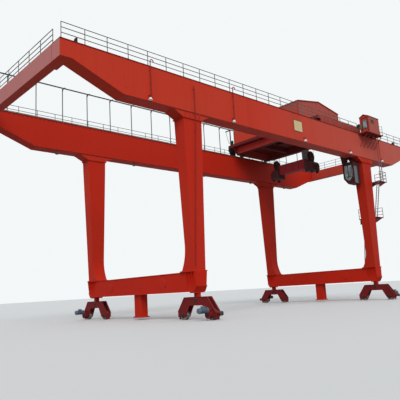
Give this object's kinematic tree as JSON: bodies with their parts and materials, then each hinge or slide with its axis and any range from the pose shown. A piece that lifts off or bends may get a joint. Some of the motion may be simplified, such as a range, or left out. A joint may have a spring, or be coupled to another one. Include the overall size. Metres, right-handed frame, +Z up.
{
  "type": "rail-mounted gantry crane, 1:2 scale model",
  "caption": "Double-girder gantry crane with cantilevered box girders on tapered legs, a travelling hoist trolley with machinery house, a lifting spreader and railed walkways.",
  "frame": {"origin": "on the wheels' running level, in the middle of the crane both ways", "axes": "+X along the main girders to the right in the picture, +Y along the crane's travel away from the camera, +Z up"},
  "size_m": [24, 9.48, 11.4107],
  "materials": {
    "red_paint": "weathered gloss paint",
    "spreader_paint": "worn paint",
    "dark_paint": "satin paint",
    "cabin_paint": "satin paint",
    "galvanised": "dull zinc grey",
    "rail_steel": "rolled, bright on the head",
    "bare_steel": "machined treads, dull elsewhere",
    "rope_wire": "greased wire",
    "black_rubber": "matt",
    "lamp_casting": "cast, dull",
    "window_glass": "clear"
  },
  "bodies": {
    "gantry": {"near_girder": "red_paint", "far_girder": "red_paint", "end_beams": "red_paint", "leg_haunches": "red_paint", "legs": "red_paint", "leg_flanges": "red_paint", "sills": "red_paint", "anchor_posts": "red_paint", "pivot_brackets": "red_paint", "trolley_rails": "rail_steel", "rail_stops": "red_paint", "handrails": "galvanised", "cable_track": "galvanised", "cable_loops": "black_rubber", "electric_house": "cabin_paint", "electric_house_platform": "red_paint", "cab_body": "cabin_paint", "cab_windows": "window_glass", "cab_hanger": "dark_paint", "door_panels": "dark_paint", "landings": "red_paint", "ladders": "red_paint", "floodlights": "lamp_casting", "conduits": "galvanised"},
    "trolley": {"trolley_frame": "red_paint", "trolley_deck": "red_paint", "trolley_wheels": "bare_steel", "house_walls": "red_paint", "house_windows": "window_glass", "house_roof": "red_paint", "tow_arm": "dark_paint", "hoist_drum": "bare_steel"},
    "spreader": {"hoist_ropes": "rope_wire", "spreader_beam": "spreader_paint", "spreader_head": "dark_paint"},
    "bogie_near_left": {"bogie_near_left": "red_paint"},
    "wheel_near_left_outer": {"wheel_near_left_outer": "bare_steel"},
    "wheel_near_left_inner": {"wheel_near_left_inner": "bare_steel"},
    "bogie_far_left": {"bogie_far_left": "red_paint"},
    "wheel_far_left_outer": {"wheel_far_left_outer": "bare_steel"},
    "wheel_far_left_inner": {"wheel_far_left_inner": "bare_steel"},
    "bogie_near_right": {"bogie_near_right": "red_paint"},
    "wheel_near_right_outer": {"wheel_near_right_outer": "bare_steel"},
    "wheel_near_right_inner": {"wheel_near_right_inner": "bare_steel"},
    "bogie_far_right": {"bogie_far_right": "red_paint"},
    "wheel_far_right_outer": {"wheel_far_right_outer": "bare_steel"},
    "wheel_far_right_inner": {"wheel_far_right_inner": "bare_steel"}
  },
  "joints": [
    {"name": "trolley_travel", "type": "slide", "parent": "gantry", "child": "trolley", "axis": [1, 0, 0], "range_m": [-14.75, 4.1]},
    {"name": "hoist", "type": "slide", "parent": "trolley", "child": "spreader", "axis": [0, 0, -1], "range_m": [0, 7.2], "deforming": ["hoist_ropes"]},
    {"name": "rock_near_left", "type": "hinge", "parent": "gantry", "child": "bogie_near_left", "pos_m": [-6.5, -3.55, 0.7], "axis": [1, 0, 0], "range_deg": [-3, 3]},
    {"name": "roll_near_left_outer", "type": "hinge", "parent": "bogie_near_left", "child": "wheel_near_left_outer", "pos_m": [-6.5, -4.31, 0.2], "axis": [1, 0, 0], "continuous": true},
    {"name": "roll_near_left_inner", "type": "hinge", "parent": "bogie_near_left", "child": "wheel_near_left_inner", "pos_m": [-6.5, -2.79, 0.2], "axis": [1, 0, 0], "continuous": true},
    {"name": "rock_far_left", "type": "hinge", "parent": "gantry", "child": "bogie_far_left", "pos_m": [-6.5, 3.55, 0.7], "axis": [1, 0, 0], "range_deg": [-3, 3]},
    {"name": "roll_far_left_outer", "type": "hinge", "parent": "bogie_far_left", "child": "wheel_far_left_outer", "pos_m": [-6.5, 4.31, 0.2], "axis": [1, 0, 0], "continuous": true},
    {"name": "roll_far_left_inner", "type": "hinge", "parent": "bogie_far_left", "child": "wheel_far_left_inner", "pos_m": [-6.5, 2.79, 0.2], "axis": [1, 0, 0], "continuous": true},
    {"name": "rock_near_right", "type": "hinge", "parent": "gantry", "child": "bogie_near_right", "pos_m": [6.5, -3.55, 0.7], "axis": [1, 0, 0], "range_deg": [-3, 3]},
    {"name": "roll_near_right_outer", "type": "hinge", "parent": "bogie_near_right", "child": "wheel_near_right_outer", "pos_m": [6.5, -4.31, 0.2], "axis": [1, 0, 0], "continuous": true},
    {"name": "roll_near_right_inner", "type": "hinge", "parent": "bogie_near_right", "child": "wheel_near_right_inner", "pos_m": [6.5, -2.79, 0.2], "axis": [1, 0, 0], "continuous": true},
    {"name": "rock_far_right", "type": "hinge", "parent": "gantry", "child": "bogie_far_right", "pos_m": [6.5, 3.55, 0.7], "axis": [1, 0, 0], "range_deg": [-3, 3]},
    {"name": "roll_far_right_outer", "type": "hinge", "parent": "bogie_far_right", "child": "wheel_far_right_outer", "pos_m": [6.5, 4.31, 0.2], "axis": [1, 0, 0], "continuous": true},
    {"name": "roll_far_right_inner", "type": "hinge", "parent": "bogie_far_right", "child": "wheel_far_right_inner", "pos_m": [6.5, 2.79, 0.2], "axis": [1, 0, 0], "continuous": true}
  ]
}
